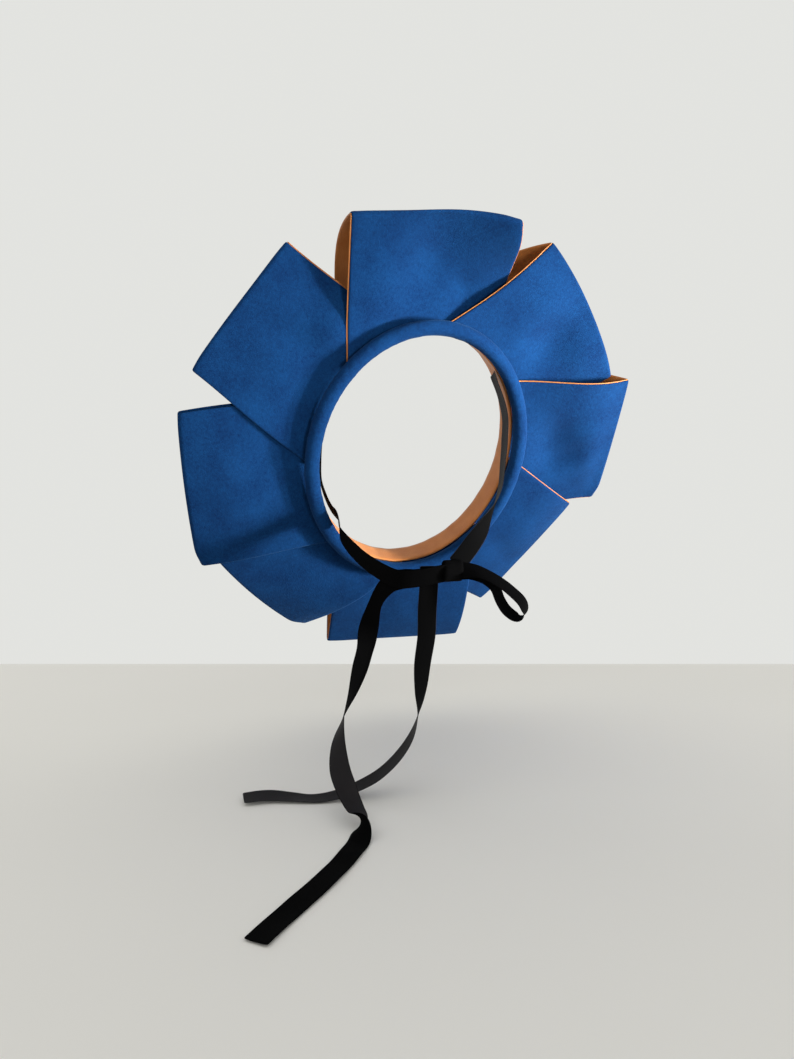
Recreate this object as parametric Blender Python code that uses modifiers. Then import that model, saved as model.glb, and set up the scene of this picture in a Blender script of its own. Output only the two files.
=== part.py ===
"""Felt petal bonnet with a ribbon tie.

A padded oval roll frames the face. Eight wide felt strips, each folded over into a flat loop
and lined with satin, fan out behind it like the petals of a flower. They nest: going clockwise
as seen from the front, every petal takes the edge of the one before it between its two layers.
A black ribbon is sewn to the lining of the roll on both sides and tied under the chin, with one
bow loop and two long tails whose ends lie flat.

The hat frame has its origin in the middle of the roll, X to the right as seen from the front,
Y to the back and Z up. As worn, the roll leans forward by HAT_TILT about X.
"""

import math

import bpy
from mathutils import Matrix, Vector

MM = 0.001

# How the hat is worn
HAT_TILT = math.radians(20.0)
OVAL_LEAN = math.radians(6.0)

# The padded roll round the face: half width, half height and thickness of its centre line
ROLL_HALF_WIDTH = 88.0 * MM
ROLL_HALF_HEIGHT = 104.0 * MM
ROLL_RADIUS = 7.5 * MM
ROLL_STEPS_ROUND = 64
ROLL_STEPS_SECTION = 12

# Pieces that touch stay this far apart
GAP = 0.3 * MM

# A petal: a straight strip of felt with a lining, folded over at its outer end into a loop. The
# loops nest: each is open at its leading edge and nearly shut at its trailing edge, and takes the
# trailing edge of the one before it between its two layers. At the seam half its opening is
# ROOT_LEAD at the leading edge and FOLD_RADIUS at the trailing one.
PETAL_WIDTH = 124.0 * MM
FELT_WALL = 1.5 * MM
LINING_WALL = 1.0 * MM
FOLD_RADIUS = 2.6 * MM
ROOT_LEAD = 9.8 * MM
ROOT_DEPTH = ROLL_RADIUS + GAP + ROOT_LEAD + FELT_WALL / 2
STEPS_ACROSS = 6
STEPS_ALONG = 7
STEPS_FOLD = 4

# Along a petal, as a power of the share of the way out. How its middle line curves up to the
# fold, how late its wedge closes, how far out its two layers stand furthest apart, and how
# soon its gathers run out.
RISE_POWER = 1.5
CLOSE_POWER = 3.0
SWELL_POWER = 1.4
GATHER_POWER = 1.5

# The small step, as a share of a layer's length, over which its slant is measured
NUDGE = 0.001

# The satin band behind the roll's inner edge, which the petals and the ribbon are sewn to. Its
# inset and that of the petals' seams are measured inwards from the roll's centre line.
BAND_WALL = 1.5 * MM
BAND_INSET = 5.0 * MM
BAND_FRONT = ROLL_RADIUS - 0.5 * MM
BAND_BACK = ROOT_DEPTH + ROOT_LEAD + FELT_WALL / 2 + 1.0 * MM
BAND_STEPS_ROUND = 64
SEAM_GAP = 1.7 * MM
SEAM_INSET = BAND_INSET - BAND_WALL / 2 - SEAM_GAP

# Petals clockwise from the top. clock: where the strip is sewn on, in degrees from the top.
# lean: turn of the strip away from straight outwards, in degrees. reach: from the roll's
# centre line to the fold. forward: how far the fold lies in front of the roll's plane.
# twist: degrees by which the fold's leading edge comes forward. front and back: how far the
# two layers swell out at the leading edge. shut: the share of that at the trailing edge.
# swing: how far the trailing edge bends sideways. gather: how far the front layer's leading
# edge is drawn in at the seam. bow: how far the middle of the fold stands out past its
# corners. narrow: percent of the width that curling takes at the fold. Lengths in millimetres.
PETAL_COLUMNS = (
    "clock", "lean", "reach", "forward", "twist",
    "front", "back", "shut", "swing", "gather", "bow", "narrow",
)
PETALS = (
    (-4.0, -1.5, 83.5, 7.0, -1.0, 1.0, 26.0, 0.1, 4.0, 0.0, 0.0, 0.0),
    (46.2, 6.3, 79.0, -6.0, 1.5, 6.0, 26.0, 0.0, 0.0, 5.5, 6.0, -3.0),
    (88.5, -3.0, 93.5, -8.5, 12.0, 7.0, 28.0, 0.03, 0.0, 4.0, 1.0, 6.0),
    (130.3, -7.3, 74.5, -29.5, 6.0, 6.0, 17.0, 0.2, 0.0, 0.0, 1.0, 0.0),
    (176.5, 1.0, 89.5, -32.0, 5.0, 2.0, 12.0, 0.8, 0.0, 0.0, 0.0, 0.0),
    (224.0, 3.2, 82.2, -26.0, -9.5, 5.0, 18.0, 0.1, 0.0, 0.0, 5.0, 0.0),
    (260.0, 3.0, 95.5, -6.0, 2.0, 2.0, 31.0, 0.05, 0.0, 0.0, 2.0, -2.0),
    (303.0, 3.0, 89.5, -21.0, 8.0, 1.0, 8.0, 0.1, 0.0, 0.0, 0.5, 7.0),
)

# The ribbon
RIBBON_WIDTH = 15.0 * MM
RIBBON_WALL = 1.0 * MM
RIBBON_STEP = 8.0 * MM
KNOT_CENTRE = Vector((0.0, -72.0, -85.0)) * MM
KNOT_SIZE = Vector((10.0, 9.0, 15.0)) * MM
KNOT_BEVEL = 2.5 * MM

# Routes of the ribbon's centre line, x, y and z in millimetres in the frame of the whole part.
# turn and lift, in degrees, point along the ribbon's width: turn about Z from +X, lift above
# the horizontal.
ROUTE_COLUMNS = ("x", "y", "z", "turn", "lift")
ROUTES = {
    "strap_right": (
        (59.2, -12, 67, 90, 20),
        (63.5, -18, 49, 84, 14),
        (64, -27, 31, 82, 8),
        (60, -35, 13, 82, 4),
        (55, -43, -5, 80, 4),
        (49, -50, -27, 75, 2),
        (40, -55, -43, 58, -16),
        (30, -60, -56, 22, -34),
        (19, -65, -67, -4, -46),
        (9.5, -69, -76, -8, -50),
    ),
    "strap_left": (
        (-61, -9, 61, 90, 20),
        (-73, -1, 41, 90, 20),
        (-79, 7, 19, 90, 20),
        (-79, 17, -12, 90, 18),
        (-74, 23, -29, 90, 7),
        (-68.5, 20, -42.5, 80, -22),
        (-65.5, 12, -48.5, 66, -42),
        (-66, 4, -54.5, 66, -50),
        (-67.5, -4, -60, 72, -56),
        (-65.5, -13, -66, 82, -60),
        (-62, -23, -72, 90, -62),
        (-54.5, -41, -81, 90, -66),
        (-44, -59, -88, 90, -69),
        (-36, -67, -90, 90, -70),
        (-24, -71, -89, 90, -69),
        (-6, -73, -86, 90, -68),
    ),
    "bow_loop": (
        (6.8, -75, -84, 90, 45),
        (16, -78, -84, 75, 35),
        (24, -82, -87, 60, 25),
        (32, -87, -92, 45, 15),
        (39, -92, -98, 45, 15),
        (46, -97, -106, 45, 15),
        (48, -98, -114, 45, 15),
        (43, -97, -118, 45, 15),
        (36, -92, -113, 45, 15),
        (32, -88, -105, 45, 15),
        (30, -84, -97, 45, 15),
        (24, -79, -91, 60, 25),
        (15, -73, -87, 75, 35),
        (6.8, -71, -86, 90, 45),
    ),
    "tail_right": (
        (-15, -66, -81, -2, 0),
        (-15.5, -66, -97, -2, 0),
        (-18, -70, -113, 0, 0),
        (-20, -74, -131, 5, 0),
        (-24, -77, -151, 15, 0),
        (-27, -81, -170, 35, 0),
        (-30, -85, -186, 65, 0),
        (-36, -87, -201, 80, 0),
        (-45, -86, -215, 88, 0),
        (-57, -83, -227, 92, 0),
        (-71, -79, -236, 95, 0),
        (-88, -77, -242, 97, 0),
        (-105, -74, -244, 100, 0),
        (-120, -69, -243, 103, 4),
        (-136, -64, -242, 100, 8),
        (-154, -63, -242, 95, 6),
    ),
    "tail_left": (
        (-6, -71, -86, 90, 112),
        (-24, -69, -89, 96, 110),
        (-35, -62.5, -90.5, 115, 96),
        (-42, -55.5, -94, 120, 56),
        (-47.5, -51, -101.5, 118, 20),
        (-52.5, -51, -110, 118, 3),
        (-56, -53, -118, 132, 0),
        (-60, -57.5, -129, 165, 0),
        (-63, -61, -140, 195, 0),
        (-68, -64, -154, 200, 0),
        (-75, -68, -171, 225, 0),
        (-83, -73, -187, 252, 0),
        (-89, -81, -202, 290, 0),
        (-91, -92, -216, 320, -5),
        (-89, -105, -227, 342, -8),
        (-87, -117, -234, 380, -3),
        (-86, -130, -238.2, 440, 0),
        (-91, -145, -244, 490, 0),
        (-102, -161, -244, 496, 0),
        (-116, -178, -244, 494, 0),
        (-130, -193, -244, 494, 0),
        (-144, -207, -244, 495, 0),
        (-156, -219, -244, 498, 0),
        (-170, -234, -244, 500, 0),
    ),
}


def clear_scene():
    """Remove whatever the new file holds."""
    for item in list(bpy.data.objects):
        bpy.data.objects.remove(item, do_unlink=True)


def make_material(name, colour, roughness, sheen):
    """A plain Principled material."""
    material = bpy.data.materials.new(name)
    material.use_nodes = True
    surface = material.node_tree.nodes["Principled BSDF"]
    surface.inputs["Base Color"].default_value = (*colour, 1.0)
    surface.inputs["Roughness"].default_value = roughness
    surface.inputs["Metallic"].default_value = 0.0
    surface.inputs["Sheen Weight"].default_value = sheen
    return material


def keep(item, name, material, collection, parent=None):
    """Name an object, give it its material, and file it in the part's collection."""
    item.name = name
    item.data.name = name
    item.data.materials.clear()
    item.data.materials.append(material)
    for other in list(item.users_collection):
        other.objects.unlink(item)
    collection.objects.link(item)
    item.parent = parent
    item.data.shade_smooth()
    return item


def add_wall(item, thickness):
    """Give an open sheet its thickness, half to each side."""
    wall = item.modifiers.new("wall", "SOLIDIFY")
    wall.thickness = thickness
    wall.offset = 0.0
    wall.use_even_offset = True


def smooth_step(value):
    """Ease from 0 to 1 with level ends."""
    value = min(max(value, 0.0), 1.0)
    return value * value * (3.0 - 2.0 * value)


def oval_point(clock, inset=0.0):
    """Point of the oval at a clock angle, in the roll's plane, moved inwards by inset."""
    half_width = ROLL_HALF_WIDTH - inset
    half_height = ROLL_HALF_HEIGHT - inset
    angle = clock - OVAL_LEAN
    across = half_width * math.sin(angle)
    upwards = half_height * math.cos(angle)
    return Matrix.Rotation(-OVAL_LEAN, 2) @ Vector((across, upwards))


def oval_exit(start, direction, inset):
    """Distance along a ray at which it leaves the oval that lies inset inside the roll."""
    turn = Matrix.Rotation(OVAL_LEAN, 2)
    place = turn @ start
    heading = turn @ direction
    half = Vector((ROLL_HALF_WIDTH - inset, ROLL_HALF_HEIGHT - inset))
    place = Vector((place.x / half.x, place.y / half.y))
    heading = Vector((heading.x / half.x, heading.y / half.y))
    a = heading.dot(heading)
    b = heading.dot(place)
    c = place.dot(place) - 1.0
    return (-b + math.sqrt(max(b * b - a * c, 0.0))) / a


def face_ring(material, collection, frame):
    """The padded felt roll: a torus drawn out to an oval."""
    bpy.ops.mesh.primitive_torus_add(
        major_segments=ROLL_STEPS_ROUND,
        minor_segments=ROLL_STEPS_SECTION,
        major_radius=ROLL_HALF_WIDTH,
        minor_radius=ROLL_RADIUS,
    )
    roll = bpy.context.object
    for vertex in roll.data.vertices:
        flat = Vector((vertex.co.x, vertex.co.y))
        clock = math.atan2(flat.x, flat.y)
        outwards = flat.length - ROLL_HALF_WIDTH
        place = oval_point(clock, -outwards)
        vertex.co = Vector((place.x, -vertex.co.z, place.y))
    return keep(roll, "face_ring", material, collection, frame)


def ring_lining(material, collection, frame):
    """The satin band behind the roll's inner edge: an open tube with a thin wall."""
    depth = BAND_BACK - BAND_FRONT
    bpy.ops.mesh.primitive_cylinder_add(
        vertices=BAND_STEPS_ROUND,
        radius=1.0,
        depth=depth,
        end_fill_type="NOTHING",
    )
    band = bpy.context.object
    for vertex in band.data.vertices:
        clock = math.atan2(vertex.co.x, vertex.co.y)
        place = oval_point(clock, BAND_INSET)
        vertex.co = Vector((place.x, BAND_FRONT + depth / 2 - vertex.co.z, place.y))
    add_wall(band, BAND_WALL)
    return keep(band, "ring_lining", material, collection, frame)


def layer_half(swell, root_half, fold_half, along):
    """How far a layer lies from its petal's middle surface, a share of the way to the fold."""
    closing = along ** CLOSE_POWER
    wedge = root_half * (1.0 - closing) + fold_half * closing
    return wedge + swell * math.sin(math.pi * along ** SWELL_POWER)


def petal_point(petal, across, step, inwards):
    """A point of a petal's middle surface, moved towards the inside of its loop.

    across runs from -1 at the leading edge to 1 at the trailing edge. step counts along the
    strip: out along the front layer, round the fold, and back along the back layer.
    """
    clock = math.radians(petal["clock"])
    heading_angle = clock + math.radians(petal["lean"])
    heading = Vector((math.sin(heading_angle), math.cos(heading_angle)))
    side = Vector((heading.y, -heading.x))
    sideways = across * PETAL_WIDTH / 2
    share = (across + 1.0) / 2
    front = step <= STEPS_ALONG
    gather = petal["gather"] * MM * (1.0 - share) if front else 0.0
    start = oval_point(clock) + side * (sideways + gather)
    near = oval_exit(start, heading, SEAM_INSET)
    far = (petal["reach"] + petal["bow"] * (1.0 - across * across)) * MM - FOLD_RADIUS

    # Each layer meets the round of the fold at the angle at which the loop closes there.
    opening = (1.0 - share + share * petal["shut"]) * MM
    root_half = ROOT_LEAD * (1.0 - share) + FOLD_RADIUS * share
    closing = CLOSE_POWER * (root_half - FOLD_RADIUS)
    swelling = math.pi * SWELL_POWER * opening
    front_close = math.atan((closing + swelling * petal["front"]) / (far - near))
    back_close = math.atan((closing + swelling * petal["back"]) / (far - near))

    if STEPS_ALONG < step < STEPS_ALONG + STEPS_FOLD:
        part = (step - STEPS_ALONG) / STEPS_FOLD
        angle = front_close + (math.pi - front_close - back_close) * part
        out = far + (FOLD_RADIUS - inwards) * math.sin(angle)
        height = (FOLD_RADIUS - inwards) * math.cos(angle)
        part_way = 1.0
    else:
        close = front_close if front else back_close
        swell = (petal["front"] if front else petal["back"]) * opening
        steps_out = step if front else 2 * STEPS_ALONG + STEPS_FOLD - step
        along = steps_out / STEPS_ALONG
        end = far + FOLD_RADIUS * math.sin(close)
        out = near + (end - near) * along
        part_way = min(max(out / end, 0.0), 1.0)
        fold_half = FOLD_RADIUS * math.cos(close)
        half = layer_half(swell, root_half, fold_half, along)
        before = layer_half(swell, root_half, fold_half, max(along - NUDGE, 0.0))
        slant = math.atan((half - before) / (NUDGE * (end - near))) if along > NUDGE else 0.0
        out += inwards * math.sin(slant)
        height = half - inwards * math.cos(slant)
        if not front:
            height = -height

    # The strip's middle surface and its slope.
    climb = petal["forward"] * MM + ROOT_DEPTH
    rise = climb * part_way ** RISE_POWER - ROOT_DEPTH
    slope = math.atan(RISE_POWER * climb / far * part_way ** (RISE_POWER - 1.0))
    past = max(out - far, 0.0) if part_way == 1.0 else 0.0
    out_by = out - past + past * math.cos(slope) - height * math.sin(slope)
    forward_by = rise + past * math.sin(slope) + height * math.cos(slope)

    ease = smooth_step(part_way)
    twist = math.radians(petal["twist"]) * ease
    sideways *= 1.0 - petal["narrow"] / 100 * ease
    draw = petal["swing"] * MM * share * share * math.sin(math.pi * part_way ** SWELL_POWER)
    draw += gather * (1.0 - part_way ** GATHER_POWER)
    place = oval_point(clock) + side * (sideways + draw) + heading * out_by
    return Vector((place.x, sideways * math.tan(twist) - forward_by, place.y))


def petal_sheet(petal, inwards):
    """A folded strip as a grid whose rows cross it and whose columns run along it."""
    steps = 2 * STEPS_ALONG + STEPS_FOLD
    bpy.ops.mesh.primitive_grid_add(x_subdivisions=STEPS_ACROSS, y_subdivisions=steps, size=2.0)
    sheet = bpy.context.object
    for vertex in sheet.data.vertices:
        step = round((vertex.co.y + 1.0) / 2 * steps)
        vertex.co = petal_point(petal, vertex.co.x, step, inwards)
    return sheet


def petals(felt, satin, collection, frame):
    """Eight felt loops and the lining inside each of them."""
    lining_inset = FELT_WALL / 2 + GAP + LINING_WALL / 2
    for number, row in enumerate(PETALS, start=1):
        petal = dict(zip(PETAL_COLUMNS, row))
        outer = petal_sheet(petal, 0.0)
        add_wall(outer, FELT_WALL)
        keep(outer, f"petal_{number}", felt, collection, frame)
        inner = petal_sheet(petal, lining_inset)
        add_wall(inner, LINING_WALL)
        keep(inner, f"petal_lining_{number}", satin, collection, frame)


def smooth_route(rows):
    """Points every few millimetres along a smooth curve through a route's rows."""
    points = [Vector(row) for row in rows]
    points = [2 * points[0] - points[1], *points, 2 * points[-1] - points[-2]]
    fine = []
    for first, second, third, fourth in zip(points, points[1:], points[2:], points[3:]):
        for part in range(16):
            t = part / 16
            fine.append(0.5 * (
                2 * second
                + (third - first) * t
                + (2 * first - 5 * second + 4 * third - fourth) * t * t
                + (3 * second - first - 3 * third + fourth) * t ** 3
            ))
    fine.append(points[-2])
    lengths = [0.0]
    for before, after in zip(fine, fine[1:]):
        lengths.append(lengths[-1] + (Vector(after[:3]) - Vector(before[:3])).length * MM)
    count = max(round(lengths[-1] / RIBBON_STEP), 2)
    even = []
    at = 0
    for number in range(count + 1):
        wanted = lengths[-1] * number / count
        while at < len(lengths) - 2 and lengths[at + 1] < wanted:
            at += 1
        span = lengths[at + 1] - lengths[at]
        mix = min(max((wanted - lengths[at]) / span, 0.0), 1.0)
        even.append(fine[at].lerp(fine[at + 1], mix))
    return even, lengths[-1]


def ribbon(name, material, collection):
    """A flat ribbon along its route."""
    stations, length = smooth_route(ROUTES[name])
    steps = len(stations) - 1
    centres = [Vector(row[:3]) * MM for row in stations]
    bpy.ops.mesh.primitive_grid_add(x_subdivisions=1, y_subdivisions=steps, size=2.0)
    strip = bpy.context.object
    for vertex in strip.data.vertices:
        index = round((vertex.co.y + 1.0) / 2 * steps)
        ahead = centres[min(index + 1, steps)] - centres[max(index - 1, 0)]
        ahead.normalize()
        turn = math.radians(stations[index][3])
        lift = math.radians(stations[index][4])
        level = math.cos(lift)
        width = Vector((math.cos(turn) * level, math.sin(turn) * level, math.sin(lift)))
        width -= ahead * width.dot(ahead)
        width.normalize()
        vertex.co = centres[index] + width * vertex.co.x * RIBBON_WIDTH / 2
    add_wall(strip, RIBBON_WALL)
    return keep(strip, name, material, collection)


def bow_knot(material, collection):
    """The knot under the chin."""
    bpy.ops.mesh.primitive_cube_add(size=1.0, location=KNOT_CENTRE)
    knot = bpy.context.object
    for vertex in knot.data.vertices:
        vertex.co = Vector(a * b for a, b in zip(vertex.co, KNOT_SIZE))
    edge = knot.modifiers.new("soft_edges", "BEVEL")
    edge.width = KNOT_BEVEL
    edge.segments = 2
    return keep(knot, "bow_knot", material, collection)


def build():
    """Make every piece."""
    clear_scene()
    collection = bpy.data.collections.new("petal_bonnet")
    bpy.context.scene.collection.children.link(collection)
    frame = bpy.data.objects.new("hat_frame", None)
    collection.objects.link(frame)
    frame.rotation_euler = (HAT_TILT, 0.0, 0.0)

    felt = make_material("blue_felt", (0.02, 0.12, 0.42), 0.95, 0.4)
    satin = make_material("mustard_satin", (0.55, 0.30, 0.07), 0.45, 0.0)
    black = make_material("black_ribbon", (0.01, 0.01, 0.012), 0.4, 0.0)

    face_ring(felt, collection, frame)
    ring_lining(satin, collection, frame)
    petals(felt, satin, collection, frame)
    for name in ROUTES:
        ribbon(name, black, collection)
    bow_knot(black, collection)
    bpy.context.view_layer.update()


build()
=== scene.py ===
# %% [markdown]
# # A felt petal bonnet
#
# The hat is a padded felt ring round the face, with eight lined felt loops fanned out behind it
# and a black ribbon that ties under the chin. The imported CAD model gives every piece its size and
# place. This file dresses it: soft cloth shapes stand in for the plain solids, and each gets a
# finish made of nodes.

# %% Load the frame
import math

import bpy
from mathutils import Matrix, Vector, noise


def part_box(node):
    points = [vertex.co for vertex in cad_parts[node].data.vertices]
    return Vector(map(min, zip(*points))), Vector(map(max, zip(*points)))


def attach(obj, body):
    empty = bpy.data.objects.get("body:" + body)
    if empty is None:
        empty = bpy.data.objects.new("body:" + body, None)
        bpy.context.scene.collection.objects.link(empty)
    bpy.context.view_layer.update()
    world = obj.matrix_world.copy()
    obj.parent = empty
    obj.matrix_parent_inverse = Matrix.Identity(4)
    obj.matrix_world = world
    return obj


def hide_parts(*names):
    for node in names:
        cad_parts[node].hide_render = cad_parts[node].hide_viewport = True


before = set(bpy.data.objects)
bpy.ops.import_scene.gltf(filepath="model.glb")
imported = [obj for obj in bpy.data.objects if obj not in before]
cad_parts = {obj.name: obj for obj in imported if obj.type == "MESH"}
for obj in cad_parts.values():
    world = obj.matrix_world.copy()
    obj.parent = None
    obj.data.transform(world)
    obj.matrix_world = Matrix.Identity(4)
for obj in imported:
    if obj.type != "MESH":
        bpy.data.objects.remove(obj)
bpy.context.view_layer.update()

MM = 0.001

# %% [markdown]
# ## The camera
#
# A lens is measured in pixels here: how many pixels a thing one unit wide covers at one unit's
# distance. Blender wants millimetres on a sensor, so that number is scaled by the sensor's
# height over the picture's. The camera looks a little down and stands a little to the left.

# %% Camera
PICTURE_HEIGHT = 1059
LENS_PIXELS = 810.0
CAMERA_PLACE = Vector((-0.2218, -0.6247, 0.0002))
CAMERA_TURN = math.radians(-18.0)
CAMERA_DOWN = math.radians(5.2)

camera_data = bpy.data.cameras.new("camera")
camera_data.sensor_fit = "VERTICAL"
camera_data.sensor_height = 36.0
camera_data.lens = 36.0 * LENS_PIXELS / PICTURE_HEIGHT
camera_data.dof.use_dof = False
camera = bpy.data.objects.new("camera", camera_data)
bpy.context.scene.collection.objects.link(camera)
camera.location = CAMERA_PLACE
camera.rotation_euler = (math.radians(90.0) - CAMERA_DOWN, 0.0, CAMERA_TURN)
bpy.context.scene.camera = camera
bpy.context.view_layer.update()
print("lens:", round(camera_data.lens, 2), "mm")

# %% [markdown]
# ## Arithmetic on sockets
#
# A procedural finish is a formula over the surface. Written as node by node calls it is hard to
# read, so a small class wraps a socket and overloads Python's operators: an expression such as
# 1 - mask adds the Math node for it. Everything else comes from one method that takes the node's
# type, its settings and its sockets.

# %% Shader helpers
class Field:
    """A number that varies over the surface: an output socket that can be used in sums."""

    def __init__(self, finish, socket):
        self.finish = finish
        self.socket = socket

    def math(self, operation, *values):
        sockets = dict(enumerate(values))
        node = self.finish.node("ShaderNodeMath", {"operation": operation}, sockets)
        return Field(self.finish, node.outputs[0])

    def __add__(self, other):
        return self.math("ADD", self, other)

    def __radd__(self, other):
        return self.math("ADD", other, self)

    def __sub__(self, other):
        return self.math("SUBTRACT", self, other)

    def __rsub__(self, other):
        return self.math("SUBTRACT", other, self)

    def __mul__(self, other):
        return self.math("MULTIPLY", self, other)

    def __rmul__(self, other):
        return self.math("MULTIPLY", other, self)

    def clamp(self):
        return self.math("MINIMUM", self.math("MAXIMUM", self, 0.0), 1.0)


class Finish:
    """A material, and the one way in which its nodes are added."""

    def __init__(self, name, roughness, sheen=0.0, sheen_tint=(1.0, 1.0, 1.0), specular=0.5):
        self.material = bpy.data.materials.new(name)
        self.material.use_nodes = True
        self.tree = self.material.node_tree
        self.surface = self.tree.nodes["Principled BSDF"]
        self.surface.inputs["Roughness"].default_value = roughness
        self.surface.inputs["Specular IOR Level"].default_value = specular
        self.surface.inputs["Sheen Weight"].default_value = sheen
        self.surface.inputs["Sheen Roughness"].default_value = 0.4
        self.surface.inputs["Sheen Tint"].default_value = (*sheen_tint, 1.0)
        self.places = self.node("ShaderNodeTexCoord", {}, {})

    def node(self, kind, settings, sockets):
        made = self.tree.nodes.new(kind)
        for name, value in settings.items():
            setattr(made, name, value)
        for name, value in sockets.items():
            if isinstance(value, Field):
                value = value.socket
            if isinstance(value, bpy.types.NodeSocket):
                self.tree.links.new(value, made.inputs[name])
            else:
                made.inputs[name].default_value = value
        return made

    def noise(self, scale, detail=2.0, roughness=0.5, coordinates=None, stretch=None):
        place = coordinates or self.places.outputs["Object"]
        if stretch:
            sockets = {"Vector": place, "Scale": stretch}
            place = self.node("ShaderNodeMapping", {}, sockets).outputs[0]
        sockets = {"Vector": place, "Scale": scale, "Detail": detail, "Roughness": roughness}
        return Field(self, self.node("ShaderNodeTexNoise", {}, sockets).outputs[0])

    def mix(self, amount, low, high):
        settings = {"data_type": "RGBA"}
        sockets = {0: amount, 6: low, 7: high}
        return self.node("ShaderNodeMix", settings, sockets).outputs[2]

    def colour(self, socket):
        self.tree.links.new(socket, self.surface.inputs["Base Color"])

    def roughness(self, field):
        self.tree.links.new(field.socket, self.surface.inputs["Roughness"])

    def bump(self, height, distance, strength=1.0):
        sockets = {"Height": height, "Distance": distance, "Strength": strength}
        made = self.node("ShaderNodeBump", {}, sockets)
        self.tree.links.new(made.outputs[0], self.surface.inputs["Normal"])


print("helpers: Field, Finish")

# %% [markdown]
# ## Wool felt
#
# Felt is a mat of short fibres with no weave. From a metre away it reads as a deep colour with
# soft clouds, from close up as a fine fuzz. Three sizes of noise give that: clouds as wide as a
# thumb, a mottle of a few millimetres, and the fuzz, which also lifts the surface a little. The
# sheen on its own socket is the light that the loose fibres catch.

# %% Felt
FELT_DARK = (0.0010, 0.0090, 0.044, 1.0)
FELT_LIGHT = (0.0040, 0.0400, 0.132, 1.0)

felt = Finish("blue_felt_cloth", 0.95, sheen=0.10, sheen_tint=(0.20, 0.50, 1.0), specular=0.06)
felt_clouds = felt.noise(42.0, detail=2.0)
felt_mottle = felt.noise(420.0, detail=3.0, roughness=0.6)
felt_fuzz = felt.noise(1500.0, detail=3.0, roughness=0.7)
felt_tone = 0.5 + (felt_mottle - 0.5) * 0.8 + (felt_clouds - 0.5) * 0.7 + (felt_fuzz - 0.5) * 1.2
felt.colour(felt.mix(felt_tone.clamp(), FELT_DARK, FELT_LIGHT))
felt.bump(felt_fuzz * 0.6 + felt_mottle * 0.4, 0.0009, 0.55)
print("finish:", felt.material.name)

# %% [markdown]
# ## Satin lining
#
# Satin is woven so that long threads float on one face. They shine along one direction and show
# as hair lines. The lining is a thin mustard satin: its lines follow the strip, so they read the
# piece's own UV map, which runs across in U and along in V.

# %% Satin
SATIN_DARK = (0.34, 0.100, 0.022, 1.0)
SATIN_LIGHT = (0.56, 0.225, 0.065, 1.0)

satin = Finish("mustard_satin_cloth", 0.42, sheen=0.06, sheen_tint=(1.0, 0.8, 0.5), specular=0.25)
satin_along = satin.places.outputs["UV"]
satin_threads = satin.noise(60.0, detail=2.0, coordinates=satin_along, stretch=(14.0, 0.6, 1.0))
satin_clouds = satin.noise(70.0, detail=2.0)
satin_tone = 0.5 + (satin_threads - 0.5) * 0.8 + (satin_clouds - 0.5) * 0.8
satin.colour(satin.mix(satin_tone.clamp(), SATIN_DARK, SATIN_LIGHT))
satin.roughness(0.36 + satin_threads * 0.2)
satin.bump(satin_threads, 0.0003, 0.4)
print("finish:", satin.material.name)

# %% [markdown]
# ## Ribbon
#
# The tie is a narrow ribbon with fine ribs across, black on one side. The other, satin side is
# charcoal, which is painted sheen: its grey shine is painted into its colour. Two finishes are
# made, one for each side.

# %% Ribbon finishes
def ribbon_finish(name, low, high, roughness, specular):
    """A ribbed finish whose colour runs from low to high."""
    finish = Finish(name, roughness, specular=specular)
    coordinates = finish.places.outputs["UV"]
    ribs = finish.noise(30.0, detail=1.0, coordinates=coordinates, stretch=(0.4, 22.0, 1.0))
    patches = finish.noise(120.0, detail=2.0)
    tone = 0.5 + (ribs - 0.5) * 0.7 + (patches - 0.5) * 0.7
    finish.colour(finish.mix(tone.clamp(), low, high))
    finish.roughness(roughness - 0.06 + patches * 0.12)
    finish.bump(ribs, 0.0002, 0.35)
    return finish


ribbon_black = ribbon_finish(
    "ribbon_black", (0.0006, 0.0006, 0.0007, 1.0), (0.0016, 0.0016, 0.0018, 1.0), 0.8, 0.03
)
# The charcoal here is painted sheen: the grey shine of the ribbon's satin face, put into its
# colour.
painted_sheen_ribbon = ribbon_finish(
    "ribbon_painted_sheen", (0.010, 0.009, 0.010, 1.0), (0.020, 0.018, 0.020, 1.0), 0.6, 0.1
)
print("finishes:", ribbon_black.material.name, painted_sheen_ribbon.material.name)

# %% [markdown]
# ## Ribbon shapes
#
# A ribbon bends freely one way only, and twists to turn. Each piece of it is a strip of faces
# along a route: a list of points, each with the direction of the ribbon's width. A smooth curve
# through them gives evenly spaced stations, Solidify gives the strip its thickness, and its
# second material index paints the other side. The tails and the loop are free.
#
# The routes are the CAD model's own, row for row: x, y and z in millimetres, then the direction
# of the ribbon's width as a turn about the vertical and a lift, both in degrees.

# %% Routes
RIBBON_WIDTH = 15.0 * MM
RIBBON_WALL = 0.45 * MM
RIBBON_STEP = 2.5 * MM
TABLE_HEIGHT = -245.2 * MM

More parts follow.
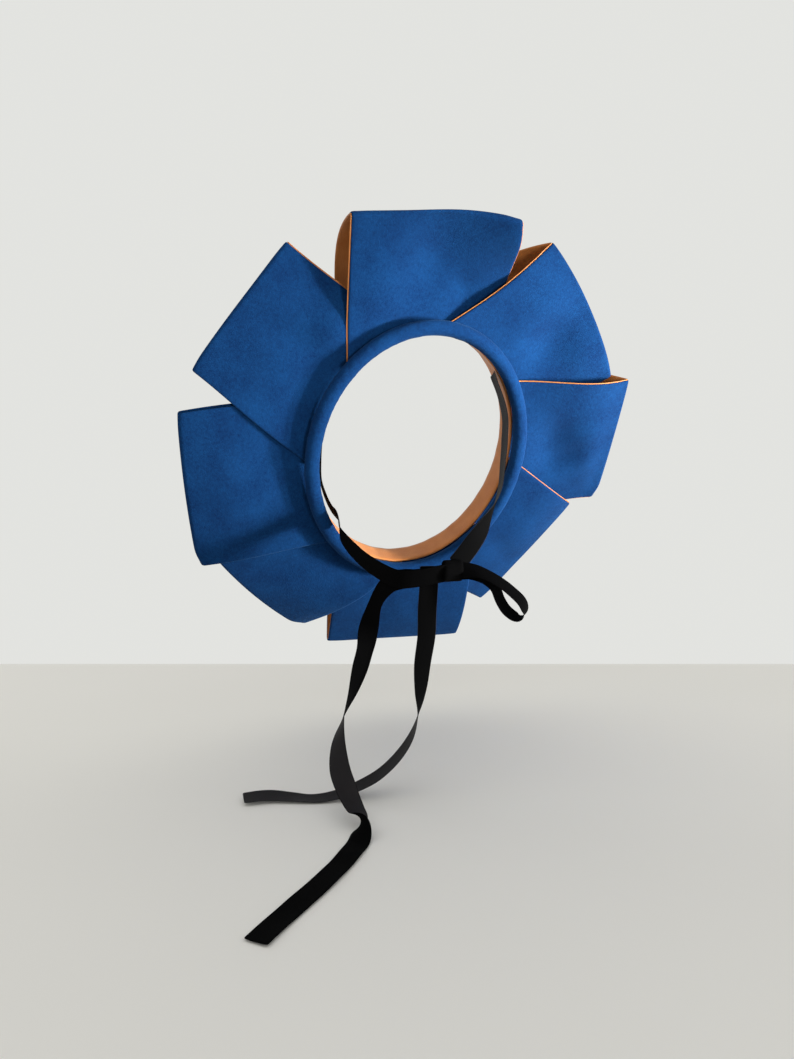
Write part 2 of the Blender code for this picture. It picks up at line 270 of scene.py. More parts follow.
ROUTES = {
    "strap_right": (
        (59.2, -12, 67, 90, 20),
        (63.5, -18, 49, 84, 14),
        (64, -27, 31, 82, 8),
        (60, -35, 13, 82, 4),
        (55, -43, -5, 80, 4),
        (49, -50, -27, 75, 2),
        (40, -55, -43, 58, -16),
        (30, -60, -56, 22, -34),
        (19, -65, -67, -4, -46),
        (9.5, -69, -76, -8, -50),
    ),
    "strap_left": (
        (-61, -9, 61, 90, 20),
        (-73, -1, 41, 90, 20),
        (-79, 7, 19, 90, 20),
        (-79, 17, -12, 90, 18),
        (-74, 23, -29, 90, 7),
        (-68.5, 20, -42.5, 80, -22),
        (-65.5, 12, -48.5, 66, -42),
        (-66, 4, -54.5, 66, -50),
        (-67.5, -4, -60, 72, -56),
        (-65.5, -13, -66, 82, -60),
        (-62, -23, -72, 90, -62),
        (-54.5, -41, -81, 90, -66),
        (-44, -59, -88, 90, -69),
        (-36, -67, -90, 90, -70),
        (-24, -71, -89, 90, -69),
        (-6, -73, -86, 90, -68),
    ),
    "bow_loop": (
        (6.8, -75, -84, 90, 45),
        (16, -78, -84, 75, 35),
        (24, -82, -87, 60, 25),
        (32, -87, -92, 45, 15),
        (39, -92, -98, 45, 15),
        (46, -97, -106, 45, 15),
        (48, -98, -114, 45, 15),
        (43, -97, -118, 45, 15),
        (36, -92, -113, 45, 15),
        (32, -88, -105, 45, 15),
        (30, -84, -97, 45, 15),
        (24, -79, -91, 60, 25),
        (15, -73, -87, 75, 35),
        (6.8, -71, -86, 90, 45),
    ),
    "tail_right": (
        (-15, -66, -81, -2, 0),
        (-15.5, -66, -97, -2, 0),
        (-18, -70, -113, 0, 0),
        (-20, -74, -131, 5, 0),
        (-24, -77, -151, 15, 0),
        (-27, -81, -170, 35, 0),
        (-30, -85, -186, 65, 0),
        (-36, -87, -201, 80, 0),
        (-45, -86, -215, 88, 0),
        (-57, -83, -227, 92, 0),
        (-71, -79, -236, 95, 0),
        (-88, -77, -242, 97, 0),
        (-105, -74, -244, 100, 0),
        (-120, -69, -243, 103, 4),
        (-136, -64, -242, 100, 8),
        (-154, -63, -242, 95, 6),
    ),
    "tail_left": (
        (-6, -71, -86, 90, 112),
        (-24, -69, -89, 96, 110),
        (-35, -62.5, -90.5, 115, 96),
        (-42, -55.5, -94, 120, 56),
        (-47.5, -51, -101.5, 118, 20),
        (-52.5, -51, -110, 118, 3),
        (-56, -53, -118, 132, 0),
        (-60, -57.5, -129, 165, 0),
        (-63, -61, -140, 195, 0),
        (-68, -64, -154, 200, 0),
        (-75, -68, -171, 225, 0),
        (-83, -73, -187, 252, 0),
        (-89, -81, -202, 290, 0),
        (-91, -92, -216, 320, -5),
        (-89, -105, -227, 342, -8),
        (-87, -117, -234, 380, -3),
        (-86, -130, -238.2, 440, 0),
        (-91, -145, -244, 490, 0),
        (-102, -161, -244, 496, 0),
        (-116, -178, -244, 494, 0),
        (-130, -193, -244, 494, 0),
        (-144, -207, -244, 495, 0),
        (-156, -219, -244, 498, 0),
        (-170, -234, -244, 500, 0),
    ),
}
print("routes:", ", ".join(ROUTES))


# %% Ribbon helpers
def apply_modifiers(piece):
    """Apply everything on a piece's stack, as the Modifiers tab's Apply does."""
    bpy.ops.object.select_all(action="DESELECT")
    bpy.context.view_layer.objects.active = piece
    piece.select_set(True)
    for modifier in list(piece.modifiers):
        bpy.ops.object.modifier_apply(modifier=modifier.name)


def finish_piece(piece, name, finishes, nodes):
    """Name a piece, give it its finishes and tie it to the frame."""
    piece.name = name
    piece.data.name = name
    piece.data.materials.clear()
    for finish in finishes:
        piece.data.materials.append(finish.material)
    piece.data.shade_smooth()
    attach(piece, "root")
    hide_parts(*nodes)


def new_grid(across, along):
    """A flat grid from -1 to 1 both ways, with a UV map, ready to be laid along a surface."""
    bpy.ops.object.select_all(action="DESELECT")
    bpy.ops.mesh.primitive_grid_add(x_subdivisions=across, y_subdivisions=along, size=2.0)
    return bpy.context.object


def smooth_route(rows):
    """Stations every few millimetres along a smooth curve through a route's rows."""
    points = [Vector(row) for row in rows]
    points = [2 * points[0] - points[1], *points, 2 * points[-1] - points[-2]]
    fine = []
    for first, second, third, fourth in zip(points, points[1:], points[2:], points[3:]):
        for part in range(16):
            t = part / 16
            fine.append(0.5 * (
                2 * second
                + (third - first) * t
                + (2 * first - 5 * second + 4 * third - fourth) * t * t
                + (3 * second - first - 3 * third + fourth) * t ** 3
            ))
    fine.append(points[-2])
    lengths = [0.0]
    for before, after in zip(fine, fine[1:]):
        lengths.append(lengths[-1] + (Vector(after[:3]) - Vector(before[:3])).length * MM)
    count = round(lengths[-1] / RIBBON_STEP)
    even = []
    at = 0
    for number in range(count + 1):
        wanted = lengths[-1] * number / count
        while at < len(lengths) - 2 and lengths[at + 1] < wanted:
            at += 1
        mix = (wanted - lengths[at]) / (lengths[at + 1] - lengths[at])
        even.append(fine[at].lerp(fine[at + 1], min(max(mix, 0.0), 1.0)))
    return even, lengths[-1]


# The straps' solids end beside the knot. Here one row more tucks each into it.
TUCKED = {
    "strap_right": ((4.0, -70.5, -81.0, -8, -52),),
    "strap_left": ((1.0, -73.0, -85.5, 90, -68),),
}

# Which finish each side gets, by the way the black face looks: 1, -1, or 0 for both ways.
# Where one face is black, the other takes the charcoal finish, which is painted sheen.
RIBBON_SIDES = {
    1: (ribbon_black, painted_sheen_ribbon),
    -1: (painted_sheen_ribbon, ribbon_black),
    0: (ribbon_black, ribbon_black),
}
RIBBON_ACROSS = 6
RIBBON_CUP = 0.35 * MM
RIBBON_WAVER = 0.5 * MM
TABLE_CLEARANCE = 0.5 * MM


def make_ribbon(name, black_side):
    """One stretch of ribbon along its route."""
    stations, length = smooth_route(ROUTES[name] + TUCKED.get(name, ()))
    steps = len(stations) - 1
    centres = [Vector(row[:3]) * MM for row in stations]
    strip = new_grid(RIBBON_ACROSS, steps)
    for vertex in strip.data.vertices:
        index = round((vertex.co.y + 1.0) / 2 * steps)
        side = vertex.co.x
        ahead = (centres[min(index + 1, steps)] - centres[max(index - 1, 0)]).normalized()
        turn = math.radians(stations[index][3])
        lift = math.radians(stations[index][4])
        level = math.cos(lift)
        width = Vector((math.cos(turn) * level, math.sin(turn) * level, math.sin(lift)))
        width = (width - ahead * width.dot(ahead)).normalized()
        face = width.cross(ahead)
        # A ribbon is never quite flat: it cups a little and wavers along its length.
        cup = RIBBON_CUP * (side * side - 0.4)
        place = centres[index] + width * side * RIBBON_WIDTH / 2
        waver = noise.noise(place * 45.0) * RIBBON_WAVER
        place += face * (cup + waver)
        place.z = max(place.z, TABLE_HEIGHT + TABLE_CLEARANCE)
        vertex.co = place
    for loop in strip.data.uv_layers.active.data:
        loop.uv = (loop.uv[0], loop.uv[1] * length / RIBBON_WIDTH)
    wall = strip.modifiers.new("wall", "SOLIDIFY")
    wall.thickness = RIBBON_WALL
    wall.offset = 0.0
    wall.material_offset = 1
    round_over = strip.modifiers.new("round_over", "SUBSURF")
    round_over.levels = 1
    round_over.render_levels = 1
    # Both material slots have to exist before Solidify is applied, for it to use the second.
    finish_piece(strip, "ribbon_" + name, RIBBON_SIDES[black_side], [name])
    apply_modifiers(strip)
    return strip, length, centres


print("helpers: apply_modifiers, finish_piece, new_grid, smooth_route, make_ribbon")

# %% Straps
# Each strap is held at both ends, by the ring's lining and by the knot, so it is cloth that
# hangs, not a free cord.
for name, black_side in (("strap_right", -1), ("strap_left", 1)):
    strap, length, centres = make_ribbon(name, black_side)
    print(name, round(length / MM), "mm")

# %% Bow loop and tails
FREE_ENDS = (
    # name, black side, far end, lie
    ("bow_loop", 0, "object", "hanging"),
    ("tail_right", -1, "bare", "loose"),
    ("tail_left", 1, "bare", "loose"),
)
for name, black_side, far_end, lie in FREE_ENDS:
    piece, length, centres = make_ribbon(name, black_side)
    print(name, round(length / MM), "mm")

# %% [markdown]
# ## The knot
#
# Where the tie crosses, the ribbon wraps once round itself. A short cylinder round the strap is
# flattened to the knot's box, its ends are closed and pulled in, and a few soft creases run
# round it. It is a little wider than the solid, to take in the ends of the straps and the loop.

# %% Knot
KNOT_WIDER_LOW = Vector((2.5, 0.3, 0.0)) * MM
KNOT_WIDER_HIGH = Vector((4.0, 0.0, 1.0)) * MM
KNOT_CREASES = 19.0
KNOT_CREASE_DEPTH = 0.05
KNOT_LOW, KNOT_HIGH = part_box("bow_knot")
KNOT_LOW -= KNOT_WIDER_LOW
KNOT_HIGH += KNOT_WIDER_HIGH
KNOT_MIDDLE = (KNOT_LOW + KNOT_HIGH) / 2
KNOT_SIZE = KNOT_HIGH - KNOT_LOW

bpy.ops.object.select_all(action="DESELECT")
bpy.ops.mesh.primitive_cylinder_add(
    vertices=28, radius=0.5, depth=1.0, location=(0, 0, 0), rotation=(0, math.pi / 2, 0)
)
knot = bpy.context.object
bpy.ops.object.transform_apply(location=False, rotation=True, scale=False)
bpy.ops.object.mode_set(mode="EDIT")
bpy.ops.mesh.select_all(action="SELECT")
bpy.ops.mesh.normals_make_consistent(inside=False)
bpy.ops.mesh.select_all(action="DESELECT")
bpy.ops.object.mode_set(mode="OBJECT")
for face in knot.data.polygons:
    face.select = abs(face.normal.x) > 0.9
bpy.ops.object.mode_set(mode="EDIT")
bpy.ops.mesh.select_mode(type="FACE")
bpy.ops.mesh.inset(thickness=0.16, depth=0.06)
bpy.ops.mesh.inset(thickness=0.14, depth=-0.05)
bpy.ops.mesh.select_all(action="DESELECT")
bpy.ops.object.mode_set(mode="OBJECT")
for face in knot.data.polygons:
    face.select = abs(face.normal.x) < 0.2
bpy.ops.object.mode_set(mode="EDIT")
bpy.ops.mesh.subdivide(number_cuts=4)
bpy.ops.object.mode_set(mode="OBJECT")
for vertex in knot.data.vertices:
    ridges = 1.0 + KNOT_CREASE_DEPTH * math.cos(vertex.co.x * KNOT_CREASES + vertex.co.z * 2.0)
    pinch = 1.0 - 0.35 * vertex.co.x ** 2
    vertex.co.y *= ridges * pinch
    vertex.co.z *= (1.0 + 0.4 * vertex.co.x ** 2) * pinch
    vertex.co = KNOT_MIDDLE + Vector(a * b for a, b in zip(vertex.co, KNOT_SIZE))
soften = knot.modifiers.new("soften", "SUBSURF")
soften.levels = 2
soften.render_levels = 2
finish_piece(knot, "ribbon_knot", [ribbon_black], ["bow_knot"])
apply_modifiers(knot)
print("knot:", [round(x / MM, 1) for x in knot.dimensions], "mm")

# %% [markdown]
# ## The oval
#
# The ring and the petals are laid out in the hat's own frame: its plane leans forward, and the
# oval leans a little to one side. One helper gives points of the oval, another says where a
# straight line leaves it, and a third brings a point of the hat's frame into the world.

# %% Oval helpers
HAT_TILT = math.radians(20.0)
OVAL_LEAN = math.radians(6.0)
ROLL_HALF_WIDTH = 88.0 * MM
ROLL_HALF_HEIGHT = 104.0 * MM
ROLL_RADIUS = 7.5 * MM
TO_WORLD = Matrix.Rotation(HAT_TILT, 3, "X")


def smooth_step(value):
    """Ease from 0 to 1 with level ends."""
    value = min(max(value, 0.0), 1.0)
    return value * value * (3.0 - 2.0 * value)


def oval_point(clock, inset=0.0):
    """Point of the oval at a clock angle, in the roll's plane, moved inwards by inset."""
    angle = clock - OVAL_LEAN
    across = (ROLL_HALF_WIDTH - inset) * math.sin(angle)
    upwards = (ROLL_HALF_HEIGHT - inset) * math.cos(angle)
    return Matrix.Rotation(-OVAL_LEAN, 2) @ Vector((across, upwards))


def oval_exit(start, direction, inset):
    """Distance along a ray at which it leaves the oval that lies inset inside the roll."""
    turn = Matrix.Rotation(OVAL_LEAN, 2)
    place = turn @ start
    heading = turn @ direction
    half = Vector((ROLL_HALF_WIDTH - inset, ROLL_HALF_HEIGHT - inset))
    place = Vector((place.x / half.x, place.y / half.y))
    heading = Vector((heading.x / half.x, heading.y / half.y))
    a = heading.dot(heading)
    b = heading.dot(place)
    c = place.dot(place) - 1.0
    return (-b + math.sqrt(max(b * b - a * c, 0.0))) / a


print("oval:", round(2 * ROLL_HALF_WIDTH / MM), "by", round(2 * ROLL_HALF_HEIGHT / MM), "mm")

# %% [markdown]
# ## The padded ring
#
# Felt is wrapped round a soft core and sewn shut at the back. A torus is too even for that, so
# it is drawn out to the oval, made a little slimmer, remeshed into even quads and blown up with
# the cloth solver, as stuffing would. The cloth can't move further than a cap, and one
# subdivision smooths it.

# %% Ring
RING_SLACK = 1.1 * MM
RING_CAP = 1.6 * MM
RING_VOXEL = 3.0 * MM
RING_PRESSURE = 4.0
RING_UNEVEN = 0.05


def swell(piece, voxel, pressure, cap, last_frame=20):
    """Remesh a closed piece evenly and let cloth pressure fill it out, by no more than cap."""
    even = piece.modifiers.new("even", "REMESH")
    even.mode = "VOXEL"
    even.voxel_size = voxel
    apply_modifiers(piece)
    before = [vertex.co.copy() for vertex in piece.data.vertices]
    cloth = piece.modifiers.new("cloth", "CLOTH")
    cloth.settings.use_pressure = True
    cloth.settings.uniform_pressure_force = pressure
    cloth.settings.effector_weights.gravity = 0.0
    for number in range(1, last_frame + 1):
        bpy.context.scene.frame_set(number)
    apply_modifiers(piece)
    furthest = 0.0
    for vertex, start in zip(piece.data.vertices, before):
        move = vertex.co - start
        if move.length > cap:
            move = move.normalized() * cap
        vertex.co = start + move
        furthest = max(furthest, move.length)
    return furthest


bpy.ops.object.select_all(action="DESELECT")
bpy.ops.mesh.primitive_torus_add(
    major_segments=160,
    minor_segments=20,
    major_radius=ROLL_HALF_WIDTH,
    minor_radius=ROLL_RADIUS - RING_SLACK,
)
ring = bpy.context.object
for vertex in ring.data.vertices:
    flat = Vector((vertex.co.x, vertex.co.y))
    clock = math.atan2(flat.x, flat.y)
    outwards = flat.length - ROLL_HALF_WIDTH
    place = oval_point(clock)
    out = Vector((math.sin(clock), math.cos(clock)))
    fuller = 1.0 + RING_UNEVEN * noise.noise(Vector((place.x, place.y, 0.0)) * 22.0)
    place += out * outwards * fuller
    vertex.co = TO_WORLD @ Vector((place.x, -vertex.co.z * fuller, place.y))
moved = swell(ring, RING_VOXEL, RING_PRESSURE, RING_CAP)
soften = ring.modifiers.new("soften", "SUBSURF")
soften.levels = 1
soften.render_levels = 1
finish_piece(ring, "felt_ring", [felt], ["face_ring"])
apply_modifiers(ring)
print("ring:", len(ring.data.polygons), "faces, swelled by", round(moved / MM, 2), "mm")

# %% [markdown]
# ## The petals
#
# A petal is one straight strip of felt, folded over at its outer end, with both ends sewn in
# behind the ring. It is a wedge: its leading edge stands open and its trailing edge is nearly
# shut, and it takes the trailing edge of the petal before it between its two layers. The table
# says where each strip starts, which way it points, how far it reaches, how it turns and how far
# its two layers swell apart. Soft dents and puffs are listed apart: each is a smooth hill pushed
# into one layer, or into both.

# %% Petal table
PETAL_WIDTH = 124.0 * MM
FELT_WALL = 1.5 * MM
FOLD_RADIUS = 2.6 * MM
ROOT_LEAD = 9.8 * MM
ROOT_DEPTH = ROLL_RADIUS + 0.3 * MM + ROOT_LEAD + FELT_WALL / 2
BAND_INSET = 5.0 * MM
SEAM_INSET = 2.55 * MM
RISE_POWER = 1.5
CLOSE_POWER = 3.0
SWELL_POWER = 1.4
GATHER_POWER = 1.5
NUDGE = 0.001
CORNER_FROM = 0.72

# The first twelve columns are the CAD model's. lead_cut and trail_cut round the two corners of
# the fold. lead_edge and trail_edge say how far the lining reaches past the felt at each side,
# or how far it stops short of it where they are negative.
PETAL_COLUMNS = (
    "clock", "lean", "reach", "forward", "twist", "front", "back", "shut", "swing", "gather",
    "bow", "narrow", "lead_cut", "trail_cut", "lead_edge", "trail_edge",
)
PETALS = (
    (-4.0, -1.5, 83.5, 7.0, -1.0, 1.0, 26.0, 0.1, 4.0, 0.0, 0.0, 0.0, 0.3, 1.5, 0.55, 0.1),
    (46.2, 6.3, 79.0, -6.0, 1.5, 6.0, 26.0, 0.0, 0.0, 5.5, 6.0, -3.0, 0.3, 0.5, 0.5, 0.1),
    (88.5, -3.0, 93.5, -8.5, 12.0, 7.0, 28.0, 0.03, 0.0, 4.0, 1.0, 6.0, 0.3, 4.0, 0.45, 0.1),
    (130.3, -7.3, 74.5, -29.5, 6.0, 6.0, 17.0, 0.2, 0.0, 0.0, 1.0, 0.0, 0.5, 1.0, 0.3, -0.5),
    (176.5, 1.0, 89.5, -32.0, 5.0, 2.0, 12.0, 0.8, 0.0, 0.0, 0.0, 0.0, 0.5, 0.5, -0.6, -0.5),
    (224.0, 3.2, 82.2, -26.0, -9.5, 5.0, 18.0, 0.1, 0.0, 0.0, 5.0, 0.0, 5.0, 0.5, -0.7, -0.7),
    (260.0, 3.0, 95.5, -6.0, 2.0, 2.0, 31.0, 0.05, 0.0, 0.0, 2.0, -2.0, 3.0, 0.5, -0.7, -3.0),
    (303.0, 3.0, 89.5, -21.0, 8.0, 1.0, 8.0, 0.1, 0.0, 0.0, 0.5, 7.0, 1.0, 0.5, -0.5, 0.6),
)

# petal, layer (1 front, -1 back, 0 both), then in millimetres: across from the middle (leading
# edge negative), out from the ring, half width, half length; the turn in degrees, and the push.
DENT_COLUMNS = ("petal", "layer", "across", "out", "wide", "long", "turn", "push")
DENTS = (
    (1, 1, 4.0, 52.0, 25.0, 34.0, -10.0, -9.5),
    (1, 0, 68.0, 74.0, 28.0, 28.0, 0.0, 12.0),
    (1, 1, 30.0, 26.0, 12.0, 16.0, 20.0, -3.0),
    (1, 1, -40.0, 30.0, 18.0, 30.0, 0.0, 2.0),
    (2, 1, 4.0, 48.0, 20.0, 26.0, 14.0, -7.0),
    (2, 1, 38.0, 68.0, 20.0, 22.0, 0.0, 4.0),
    (2, 1, -26.0, 62.0, 16.0, 22.0, 0.0, 1.6),
    (3, 1, 0.0, 38.0, 30.0, 20.0, 0.0, -7.0),
    (3, 1, 10.0, 56.0, 9.0, 26.0, 24.0, -2.0),
    (3, 1, 12.0, 74.0, 34.0, 12.0, 0.0, 2.5),
    (4, 1, 10.0, 44.0, 10.0, 22.0, -12.0, -2.0),
    (5, 1, 20.0, 50.0, 12.0, 26.0, 8.0, -1.6),
    (6, 1, 8.0, 46.0, 14.0, 26.0, -16.0, -1.8),
    (7, 1, 20.0, 34.0, 12.0, 24.0, 30.0, -2.6),
    (7, 1, -10.0, 62.0, 24.0, 18.0, 0.0, 1.6),
    (8, 1, 36.0, 24.0, 22.0, 18.0, 12.0, 6.0),
    (8, 0, -30.0, 74.0, 44.0, 30.0, 0.0, -6.0),
    (8, 1, 6.0, 46.0, 12.0, 34.0, 10.0, -2.4),
)
print("petals:", len(PETALS), "dents:", len(DENTS))

# %% Petal helpers
STEPS_ACROSS = 28
STEPS_ALONG = 26
STEPS_FOLD = 8


def dent_push(number, part, across, out):
    """Sum of the dents at a place. part runs from 0 on the front layer to 1 on the back one."""
    total = 0.0
    for row in DENTS:
        dent = dict(zip(DENT_COLUMNS, row))
        if dent["petal"] != number:
            continue
        weight = {1: 1.0 - part, -1: part, 0: 1.0}[dent["layer"]]
        turn = math.radians(dent["turn"])
        x = across / MM - dent["across"]
        y = out / MM - dent["out"]
        along = (x * math.cos(turn) + y * math.sin(turn)) / dent["wide"]
        beside = (-x * math.sin(turn) + y * math.cos(turn)) / dent["long"]
        total += weight * dent["push"] * MM * math.exp(-along * along - beside * beside)
    return total


def layer_half(swell, root_half, fold_half, along):
    """How far a layer lies from its petal's middle surface, a share of the way to the fold."""
    closing = along ** CLOSE_POWER
    wedge = root_half * (1.0 - closing) + fold_half * closing
    return wedge + swell * math.sin(math.pi * along ** SWELL_POWER)


def petal_point(number, across, step, inwards):
    """A point of a petal's surface, moved towards the inside of its loop, in the hat's frame."""
    petal = dict(zip(PETAL_COLUMNS, PETALS[number - 1]))
    clock = math.radians(petal["clock"])
    heading_angle = clock + math.radians(petal["lean"])
    heading = Vector((math.sin(heading_angle), math.cos(heading_angle)))
    side = Vector((heading.y, -heading.x))
    sideways = across * PETAL_WIDTH / 2
    share = (min(max(across, -1.0), 1.0) + 1.0) / 2
    front = step <= STEPS_ALONG
    gather = petal["gather"] * MM * (1.0 - share) if front else 0.0
    start = oval_point(clock) + side * (sideways + gather)
    near = oval_exit(start, heading, SEAM_INSET)
    corner = 1.0 - CORNER_FROM
    rounded = petal["lead_cut"] * smooth_step((-across - CORNER_FROM) / corner) ** 2
    rounded += petal["trail_cut"] * smooth_step((across - CORNER_FROM) / corner) ** 2
    far = (petal["reach"] + petal["bow"] * (1.0 - across * across) - rounded) * MM - FOLD_RADIUS

    # Each layer meets the round of the fold at the angle at which the loop closes there.
    opening = (1.0 - share + share * petal["shut"]) * MM
    root_half = ROOT_LEAD * (1.0 - share) + FOLD_RADIUS * share
    closing = CLOSE_POWER * (root_half - FOLD_RADIUS)
    swelling = math.pi * SWELL_POWER * opening
    front_close = math.atan((closing + swelling * petal["front"]) / (far - near))
    back_close = math.atan((closing + swelling * petal["back"]) / (far - near))

    if STEPS_ALONG < step < STEPS_ALONG + STEPS_FOLD:
        part = (step - STEPS_ALONG) / STEPS_FOLD
        angle = front_close + (math.pi - front_close - back_close) * part
        out = far + (FOLD_RADIUS - inwards) * math.sin(angle)
        height = (FOLD_RADIUS - inwards) * math.cos(angle)
        part_way = 1.0
    else:
        part = 0.0 if front else 1.0
        close = front_close if front else back_close
        swell = (petal["front"] if front else petal["back"]) * opening
        steps_out = step if front else 2 * STEPS_ALONG + STEPS_FOLD - step
        along = steps_out / STEPS_ALONG
        end = far + FOLD_RADIUS * math.sin(close)
        out = near + (end - near) * along
        part_way = min(max(out / end, 0.0), 1.0)
        fold_half = FOLD_RADIUS * math.cos(close)
        half = layer_half(swell, root_half, fold_half, along)
        before = layer_half(swell, root_half, fold_half, max(along - NUDGE, 0.0))
        slant = math.atan((half - before) / (NUDGE * (end - near))) if along > NUDGE else 0.0
        out += inwards * math.sin(slant)
        height = half - inwards * math.cos(slant)
        if not front:
            height = -height
    height += dent_push(number, part, sideways, out)

    # The strip's middle surface and its slope.
    climb = petal["forward"] * MM + ROOT_DEPTH
    rise = climb * part_way ** RISE_POWER - ROOT_DEPTH
    slope = math.atan(RISE_POWER * climb / far * part_way ** (RISE_POWER - 1.0))
    past = max(out - far, 0.0) if part_way == 1.0 else 0.0
    out_by = out - past + past * math.cos(slope) - height * math.sin(slope)
    forward_by = rise + past * math.sin(slope) + height * math.cos(slope)

    ease = smooth_step(part_way)
    twist = math.radians(petal["twist"]) * ease
    sideways *= 1.0 - petal["narrow"] / 100 * ease
    draw = petal["swing"] * MM * share * share * math.sin(math.pi * part_way ** SWELL_POWER)
    draw += gather * (1.0 - part_way ** GATHER_POWER)
    place = oval_point(clock) + side * (sideways + draw) + heading * out_by
    return Vector((place.x, sideways * math.tan(twist) - forward_by, place.y))


# The lining's columns nearest a side, from the side inwards: the share of its reach past the
# felt that each takes, how far inside the felt's edge it lies in millimetres, its share of a
# shortfall, and how much of the lining's inward offset it keeps as the edge rolls over.
EDGE_COLUMNS = (
    (1.0, 0.0, 1.0, 0.3),
    (0.6, 0.0, 1.15, 0.75),
    (0.0, 0.7, 1.2, 1.0),
    (0.0, 3.0, 1.2, 1.0),
)


def edge_column(across, column, inwards, beyond):
    """Where a column of the lining lies: as it is, or as EDGE_COLUMNS says near a side."""
    from_side = min(column, STEPS_ACROSS - column)
    if from_side >= len(EDGE_COLUMNS):
        return across, inwards
    lead = column < STEPS_ACROSS / 2
    reach = beyond[0] if lead else beyond[1]
    short = max(0.0, -reach)
    past_share, inside, short_share, kept = EDGE_COLUMNS[from_side]
    moved_out = past_share * max(0.0, reach) - inside * MM - short_share * short
    place = 1.0 + moved_out / (PETAL_WIDTH / 2)
    return (-place if lead else place), inwards * (1.0 if short else kept)


def lay_petal(number, name, inwards, wall, finish, node):
    """A folded strip of felt, or of lining, which lies inwards by an offset. Returns its length."""
    petal = dict(zip(PETAL_COLUMNS, PETALS[number - 1]))
    beyond = (petal["lead_edge"] * MM, petal["trail_edge"] * MM)
    steps = 2 * STEPS_ALONG + STEPS_FOLD
    sheet = new_grid(STEPS_ACROSS, steps)
    for vertex in sheet.data.vertices:
        across = vertex.co.x
        step = round((vertex.co.y + 1.0) / 2 * steps)
        offset = inwards
        if inwards:
            column = round((across + 1.0) / 2 * STEPS_ACROSS)
            across, offset = edge_column(across, column, inwards, beyond)
        vertex.co = TO_WORLD @ petal_point(number, across, step, offset)
    rows = [petal_point(number, 0.0, step, 0.0) for step in range(steps + 1)]
    length = sum((after - before).length for before, after in zip(rows, rows[1:]))
    for loop in sheet.data.uv_layers.active.data:
        loop.uv = (loop.uv[0], loop.uv[1] * length / PETAL_WIDTH)
    thick = sheet.modifiers.new("wall", "SOLIDIFY")
    thick.thickness = wall
    thick.offset = 0.0
    thick.use_even_offset = True
    soften = sheet.modifiers.new("soften", "SUBSURF")
    soften.levels = 1
    soften.render_levels = 1
    finish_piece(sheet, name, [finish], [node])
    apply_modifiers(sheet)
    return length


print("helpers: dent_push, layer_half, petal_point, edge_column, lay_petal")

# %% Felt loops and their linings
LINING_WALL = 0.7 * MM
LINING_GAP = 0.15 * MM
LINING_INSET = FELT_WALL / 2 + LINING_GAP + LINING_WALL / 2
for number in range(1, len(PETALS) + 1):
    length = lay_petal(
        number, f"felt_petal_{number}", 0.0, FELT_WALL,
        felt, f"petal_{number}",
    )
    lay_petal(
        number, f"satin_petal_{number}", LINING_INSET, LINING_WALL,
        satin, f"petal_lining_{number}",
    )
    print("petal", number, "strip", round(length / MM), "mm long")

# %% [markdown]
# ## The band behind the ring
#
# The petals and the ribbon are sewn to a satin band that lines the opening. It is an open tube
# with a rolled hem at each end, so its first and last rows turn outwards.

# %% Band
BAND_WALL = 1.2 * MM
BAND_LOW = ROLL_RADIUS - 0.5 * MM
BAND_HIGH = ROOT_DEPTH + ROOT_LEAD + FELT_WALL / 2 + 1.0 * MM
BAND_HEM = 0.35 * MM
BAND_PUCKER = 0.35 * MM
bpy.ops.object.select_all(action="DESELECT")
bpy.ops.mesh.primitive_cylinder_add(vertices=160, radius=1.0, depth=2.0, end_fill_type="NOTHING")
band = bpy.context.object
bpy.ops.object.mode_set(mode="EDIT")
bpy.ops.mesh.select_all(action="SELECT")
bpy.ops.mesh.normals_make_consistent(inside=False)
bpy.ops.object.mode_set(mode="OBJECT")
rows = band.modifiers.new("rows", "SUBSURF")
rows.subdivision_type = "SIMPLE"
rows.levels = 3
rows.render_levels = 3
apply_modifiers(band)
for vertex in band.data.vertices:
    clock = math.atan2(vertex.co.x, vertex.co.y)
    along = (vertex.co.z + 1.0) / 2
    depth = BAND_HIGH - (BAND_HIGH - BAND_LOW) * along
    hem = BAND_HEM * smooth_step(abs(along - 0.5) * 12.0 - 5.0)
    waves = Vector((math.sin(clock) * 9.0, math.cos(clock) * 9.0, along * 1.5))
    pucker = BAND_PUCKER * noise.noise(waves)
    place = oval_point(clock, BAND_INSET - hem + pucker)
    vertex.co = TO_WORLD @ Vector((place.x, depth, place.y))
thick = band.modifiers.new("wall", "SOLIDIFY")
thick.thickness = BAND_WALL
thick.offset = 0.0
finish_piece(band, "satin_band", [satin], ["ring_lining"])
apply_modifiers(band)
BAND_HIGH - BAND_LOW

# %% [markdown]
# ## Table, light and sky
#
# The pale surround gives most of the light and leaves deep blue felt nearly flat. Two soft lamps
# on the right and a weak one in front bring its shape out: what faces them shows its blue, and
# the far side falls to navy. They stand low and each has a grid, which keeps their light off the
# part of the table that the camera sees. The table ends behind the hat, where the surround takes
# over.

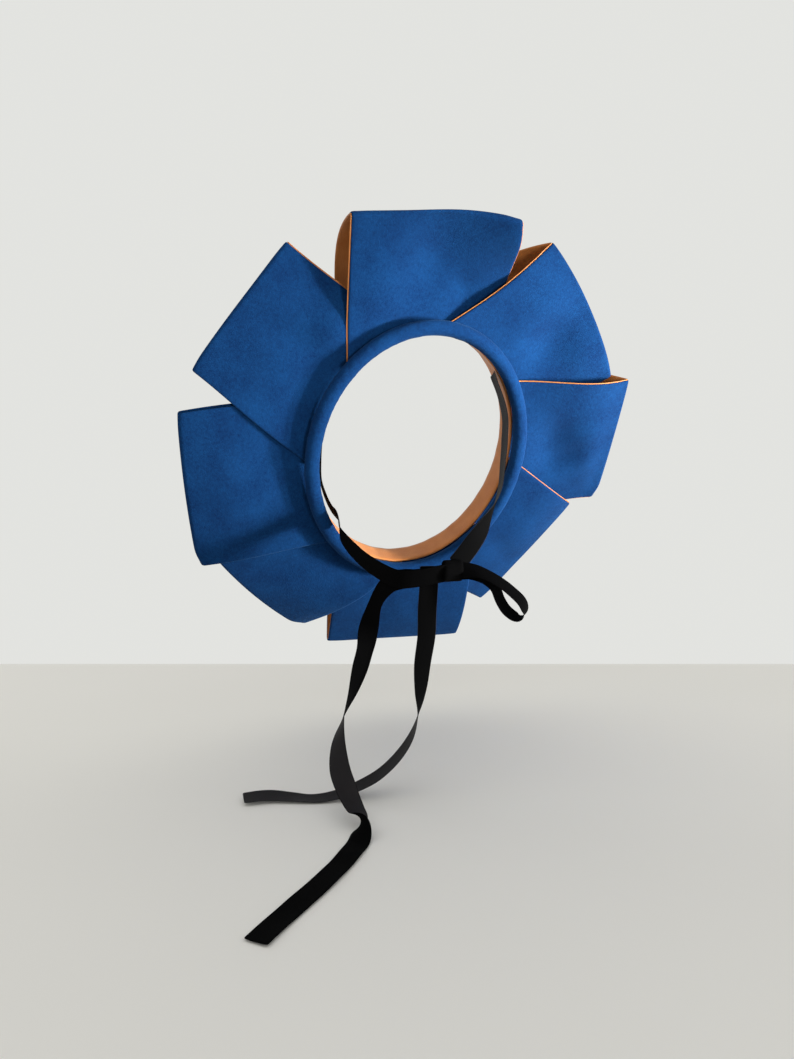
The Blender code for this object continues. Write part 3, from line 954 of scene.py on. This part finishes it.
# %% Stage
TABLE_REACH = 0.94
TABLE_NEAR = -4.0
TABLE_WIDTH = 10.0
bpy.ops.object.select_all(action="DESELECT")
bpy.ops.mesh.primitive_plane_add(size=1.0)
table = bpy.context.object
table.name = "table"
for vertex in table.data.vertices:
    deep = TABLE_REACH if vertex.co.y > 0 else TABLE_NEAR
    vertex.co = Vector((vertex.co.x * TABLE_WIDTH, deep, 0.0))
below_camera = Matrix.Translation((CAMERA_PLACE.x, CAMERA_PLACE.y, TABLE_HEIGHT))
table.matrix_world = below_camera @ Matrix.Rotation(CAMERA_TURN, 4, "Z")
table_finish = Finish("pale_table", 0.6, specular=0.3)
table_clouds = table_finish.noise(3.0)
TABLE_DARK = (0.84, 0.82, 0.785, 1.0)
TABLE_LIGHT = (0.88, 0.86, 0.825, 1.0)
table_finish.colour(table_finish.mix(table_clouds, TABLE_DARK, TABLE_LIGHT))
table.data.materials.append(table_finish.material)


def lamp(name, place, target, size, power, spread):
    """A square soft lamp that looks at a point. Its grid keeps the light within spread degrees."""
    data = bpy.data.lights.new(name, "AREA")
    data.size = size
    data.energy = power
    data.spread = math.radians(spread)
    light = bpy.data.objects.new(name, data)
    bpy.context.scene.collection.objects.link(light)
    light.location = place
    light.rotation_euler = (Vector(target) - Vector(place)).to_track_quat("-Z", "Y").to_euler()


# name, place and target in metres, size, power in watts, spread in degrees
LAMPS = (
    ("key", (0.95, -0.80, -0.15), (0.10, 0.0, 0.10), 0.3, 1.3, 19.0),
    ("low", (1.05, -0.60, -0.10), (0.10, 0.03, -0.06), 0.3, 0.85, 14.0),
    ("front", (0.10, -1.15, 0.10), (0.01, 0.0, 0.17), 0.4, 0.28, 11.0),
)
for row in LAMPS:
    lamp(*row)

SURROUND = (0.765, 0.77, 0.745, 1.0)
world = bpy.data.worlds.new("studio")
world.use_nodes = True
background = world.node_tree.nodes["Background"]
background.inputs["Color"].default_value = SURROUND
background.inputs["Strength"].default_value = 1.0
bpy.context.scene.world = world
bpy.context.scene.view_settings.view_transform = "Standard"
print("table at", round(TABLE_HEIGHT / MM, 1), "mm")
